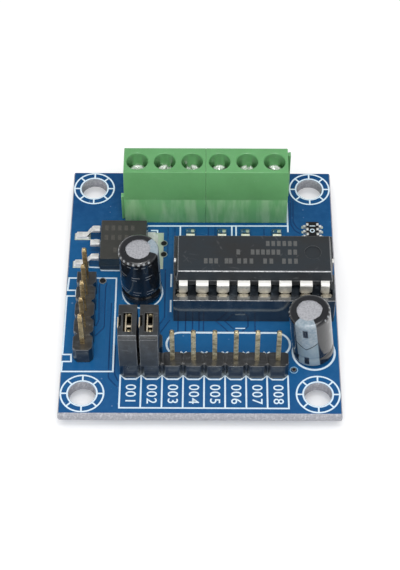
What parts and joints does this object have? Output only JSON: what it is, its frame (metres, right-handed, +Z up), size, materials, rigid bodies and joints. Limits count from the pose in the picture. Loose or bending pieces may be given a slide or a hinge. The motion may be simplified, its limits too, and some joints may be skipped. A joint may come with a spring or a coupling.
{
  "type": "dc motor driver module",
  "caption": "Small blue circuit board with a socketed driver chip, green screw terminals for motors and power, pin headers with jumper caps, a regulator and capacitors.",
  "frame": {"origin": "centre of the four mounting holes, on the board's underside", "axes": "+Z up out of the component side, +Y towards the screw terminals, +X to the right seen from the header side"},
  "size_m": [0.034, 0.0382, 0.0119],
  "materials": {
    "solder_mask": "blue lacquer over glass-fibre laminate",
    "tin": "bright tin plate and solder",
    "pale_brass": "thin gold over brass",
    "black_nylon": "satin black moulding",
    "cap_plastic": "matt dark grey moulding",
    "spring_bronze": "bare spring bronze",
    "green_plastic": "green moulding",
    "screw_steel": "zinc plated",
    "clamp_brass": "nickel plated brass",
    "socket_plastic": "glossy black moulding",
    "chip_epoxy": "fine matt moulding compound",
    "can_aluminium": "drawn aluminium",
    "sleeve_film": "black shrink film with a pale stripe",
    "bung_rubber": "moulded rubber",
    "regulator_epoxy": "matt moulding compound",
    "ceramic_body": "glazed thick-film body",
    "lamp_carrier": "pale resin",
    "lamp_lens": "clear tinted resin"
  },
  "bodies": {
    "board": {"circuit_board": "solder_mask", "surface_pads": "tin", "solder_joints": "tin", "input_header_strip": "black_nylon", "input_header_pins": "pale_brass", "enable_header_strip": "black_nylon", "enable_header_pins": "pale_brass", "side_header_strip": "black_nylon", "side_header_pins": "pale_brass", "jumper_cap_left": "cap_plastic", "jumper_contact_left": "spring_bronze", "jumper_cap_right": "cap_plastic", "jumper_contact_right": "spring_bronze", "terminal_housing_left": "green_plastic", "terminal_contacts_left": "tin", "terminal_housing_right": "green_plastic", "terminal_contacts_right": "tin", "chip_socket": "socket_plastic", "socket_contacts": "tin", "driver_chip": "chip_epoxy", "driver_chip_leads": "tin", "regulator_body": "regulator_epoxy", "regulator_tab": "tin", "regulator_leads": "tin", "capacitor_left_can": "can_aluminium", "capacitor_left_sleeve": "sleeve_film", "capacitor_left_bung": "bung_rubber", "capacitor_left_leads": "tin", "capacitor_right_can": "can_aluminium", "capacitor_right_sleeve": "sleeve_film", "capacitor_right_bung": "bung_rubber", "capacitor_right_leads": "tin", "resistor_network_body": "ceramic_body", "resistor_network_ends": "tin", "indicator_1_base": "lamp_carrier", "indicator_1_lens": "lamp_lens", "indicator_1_ends": "tin", "indicator_2_base": "lamp_carrier", "indicator_2_lens": "lamp_lens", "indicator_2_ends": "tin", "indicator_3_base": "lamp_carrier", "indicator_3_lens": "lamp_lens", "indicator_3_ends": "tin", "indicator_4_base": "lamp_carrier", "indicator_4_lens": "lamp_lens", "indicator_4_ends": "tin"},
    "screw_1": {"terminal_screw_1": "screw_steel"},
    "clamp_1": {"terminal_clamp_1": "clamp_brass"},
    "screw_2": {"terminal_screw_2": "screw_steel"},
    "clamp_2": {"terminal_clamp_2": "clamp_brass"},
    "screw_3": {"terminal_screw_3": "screw_steel"},
    "clamp_3": {"terminal_clamp_3": "clamp_brass"},
    "screw_4": {"terminal_screw_4": "screw_steel"},
    "clamp_4": {"terminal_clamp_4": "clamp_brass"},
    "screw_5": {"terminal_screw_5": "screw_steel"},
    "clamp_5": {"terminal_clamp_5": "clamp_brass"},
    "screw_6": {"terminal_screw_6": "screw_steel"},
    "clamp_6": {"terminal_clamp_6": "clamp_brass"}
  },
  "joints": [
    {"name": "screw_1_turn", "type": "hinge", "parent": "board", "child": "screw_1", "pos_m": [-0.00819, 0.01364, 0.0079], "axis": [0, 0, -1], "range_deg": [0, 1440]},
    {"name": "clamp_1_lift", "type": "slide", "parent": "board", "child": "clamp_1", "axis": [0, 0, 1], "range_m": [0, 0.0016]},
    {"name": "screw_2_turn", "type": "hinge", "parent": "board", "child": "screw_2", "pos_m": [-0.00469, 0.01364, 0.0079], "axis": [0, 0, -1], "range_deg": [0, 1440]},
    {"name": "clamp_2_lift", "type": "slide", "parent": "board", "child": "clamp_2", "axis": [0, 0, 1], "range_m": [0, 0.0016]},
    {"name": "screw_3_turn", "type": "hinge", "parent": "board", "child": "screw_3", "pos_m": [-0.00119, 0.01364, 0.0079], "axis": [0, 0, -1], "range_deg": [0, 1440]},
    {"name": "clamp_3_lift", "type": "slide", "parent": "board", "child": "clamp_3", "axis": [0, 0, 1], "range_m": [0, 0.0016]},
    {"name": "screw_4_turn", "type": "hinge", "parent": "board", "child": "screw_4", "pos_m": [0.00231, 0.01364, 0.0079], "axis": [0, 0, -1], "range_deg": [0, 1440]},
    {"name": "clamp_4_lift", "type": "slide", "parent": "board", "child": "clamp_4", "axis": [0, 0, 1], "range_m": [0, 0.0016]},
    {"name": "screw_5_turn", "type": "hinge", "parent": "board", "child": "screw_5", "pos_m": [0.00581, 0.01364, 0.0079], "axis": [0, 0, -1], "range_deg": [0, 1440]},
    {"name": "clamp_5_lift", "type": "slide", "parent": "board", "child": "clamp_5", "axis": [0, 0, 1], "range_m": [0, 0.0016]},
    {"name": "screw_6_turn", "type": "hinge", "parent": "board", "child": "screw_6", "pos_m": [0.00931, 0.01364, 0.0079], "axis": [0, 0, -1], "range_deg": [0, 1440]},
    {"name": "clamp_6_lift", "type": "slide", "parent": "board", "child": "clamp_6", "axis": [0, 0, 1], "range_m": [0, 0.0016]}
  ],
  "couplings": [
    {"joint": "screw_1_turn", "follows": "clamp_1_lift", "rad_per_m": 15706},
    {"joint": "screw_2_turn", "follows": "clamp_2_lift", "rad_per_m": 15706},
    {"joint": "screw_3_turn", "follows": "clamp_3_lift", "rad_per_m": 15706},
    {"joint": "screw_4_turn", "follows": "clamp_4_lift", "rad_per_m": 15706},
    {"joint": "screw_5_turn", "follows": "clamp_5_lift", "rad_per_m": 15706},
    {"joint": "screw_6_turn", "follows": "clamp_6_lift", "rad_per_m": 15706}
  ]
}
